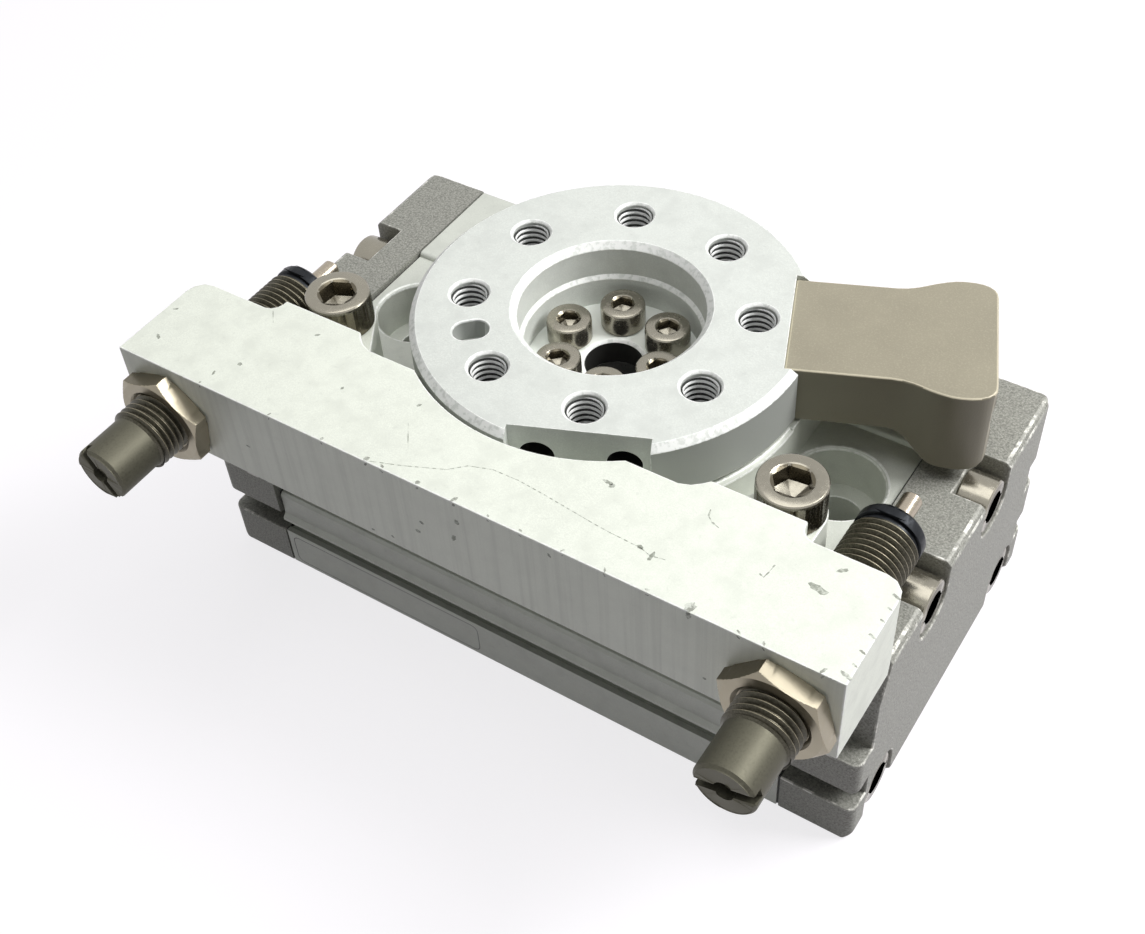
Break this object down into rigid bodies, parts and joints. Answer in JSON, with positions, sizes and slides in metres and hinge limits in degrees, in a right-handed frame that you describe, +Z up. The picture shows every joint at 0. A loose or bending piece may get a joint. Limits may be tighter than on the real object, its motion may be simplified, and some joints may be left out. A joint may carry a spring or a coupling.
{
  "type": "rotary table actuator",
  "caption": "Air-driven rotary table with rack and pinion, flat bored turntable, a stop arm and a front bar with adjustable shock absorbers.",
  "frame": {"origin": "on the table axis, in the plane of the mounting face, at the centre of the locating bore", "axes": "+Z up along the table axis, +X along the body towards the cover without ports, -Y towards the front bar with the shock absorbers"},
  "size_m": [0.1176, 0.0895, 0.054],
  "materials": {
    "body_silver": "satin anodised",
    "cover_grey": "die-cast, speckled",
    "bar_silver": "bead-blasted, anodised",
    "table_silver": "sandblasted, anodised",
    "arm_steel": "satin, warm grey",
    "screw_steel": "nickel plated",
    "bearing_steel": "ground",
    "gear_steel": "machined",
    "nut_nickel": "yellowish nickel",
    "absorber_dark": "blackened, worn",
    "rod_steel": "polished",
    "seal_rubber": "matt",
    "wear_plastic": "matt",
    "magnet_grey": "matt"
  },
  "bodies": {
    "base": {"body": "body_silver", "left_cover": "cover_grey", "right_cover": "cover_grey", "left_gasket": "seal_rubber", "right_gasket": "seal_rubber", "left_cover_screws": "screw_steel", "right_cover_screws": "screw_steel", "passage_plugs": "bearing_steel", "upper_bearing_outer": "bearing_steel", "lower_bearing_outer": "bearing_steel", "bearing_retainer": "table_silver", "retainer_screws": "screw_steel", "absorber_bar": "bar_silver", "bar_screws": "screw_steel", "lock_nuts": "nut_nickel", "left_absorber_tube": "absorber_dark", "right_absorber_tube": "absorber_dark"},
    "rotor": {"table": "table_silver", "table_screws": "screw_steel", "drive_pin": "bearing_steel", "pinion": "gear_steel", "arm": "arm_steel", "arm_screws": "screw_steel", "upper_bearing_inner": "bearing_steel", "lower_bearing_inner": "bearing_steel"},
    "upper_balls": {"upper_bearing_balls": "bearing_steel"},
    "lower_balls": {"lower_bearing_balls": "bearing_steel"},
    "front_piston_set": {"front_piston": "body_silver", "front_piston_seals": "seal_rubber", "front_wear_rings": "wear_plastic", "piston_magnets": "magnet_grey"},
    "rear_piston_set": {"rear_piston": "body_silver", "rear_piston_seals": "seal_rubber", "rear_wear_rings": "wear_plastic"},
    "left_rod": {"left_absorber_rod": "rod_steel"},
    "right_rod": {"right_absorber_rod": "rod_steel"}
  },
  "joints": [
    {"name": "table_turn", "type": "hinge", "parent": "base", "child": "rotor", "pos_m": [0, 0, 0.04], "axis": [0, 0, 1], "range_deg": [-12, 148.5]},
    {"name": "upper_ball_turn", "type": "hinge", "parent": "base", "child": "upper_balls", "pos_m": [0, 0, 0.0369], "axis": [0, 0, 1], "range_deg": [-5.6, 67.6]},
    {"name": "lower_ball_turn", "type": "hinge", "parent": "base", "child": "lower_balls", "pos_m": [0, 0, 0.0057], "axis": [0, 0, 1], "range_deg": [-5.2, 63.6]},
    {"name": "front_piston_slide", "type": "slide", "parent": "base", "child": "front_piston_set", "axis": [1, 0, 0], "range_m": [-0.0022, 0.026]},
    {"name": "rear_piston_slide", "type": "slide", "parent": "base", "child": "rear_piston_set", "axis": [1, 0, 0], "range_m": [-0.026, 0.0022]},
    {"name": "left_rod_slide", "type": "slide", "parent": "base", "child": "left_rod", "axis": [0, 1, 0], "range_m": [-0.0065, 0], "stiffness_N_per_m": 386, "springref_m": 0.011},
    {"name": "right_rod_slide", "type": "slide", "parent": "base", "child": "right_rod", "axis": [0, 1, 0], "range_m": [-0.0065, 0], "stiffness_N_per_m": 386, "springref_m": 0.011}
  ],
  "couplings": [
    {"joint": "front_piston_slide", "follows": "table_turn", "m_per_rad": 0.01},
    {"joint": "rear_piston_slide", "follows": "table_turn", "m_per_rad": -0.01},
    {"joint": "upper_ball_turn", "follows": "table_turn", "ratio": 0.453},
    {"joint": "lower_ball_turn", "follows": "table_turn", "ratio": 0.426}
  ]
}
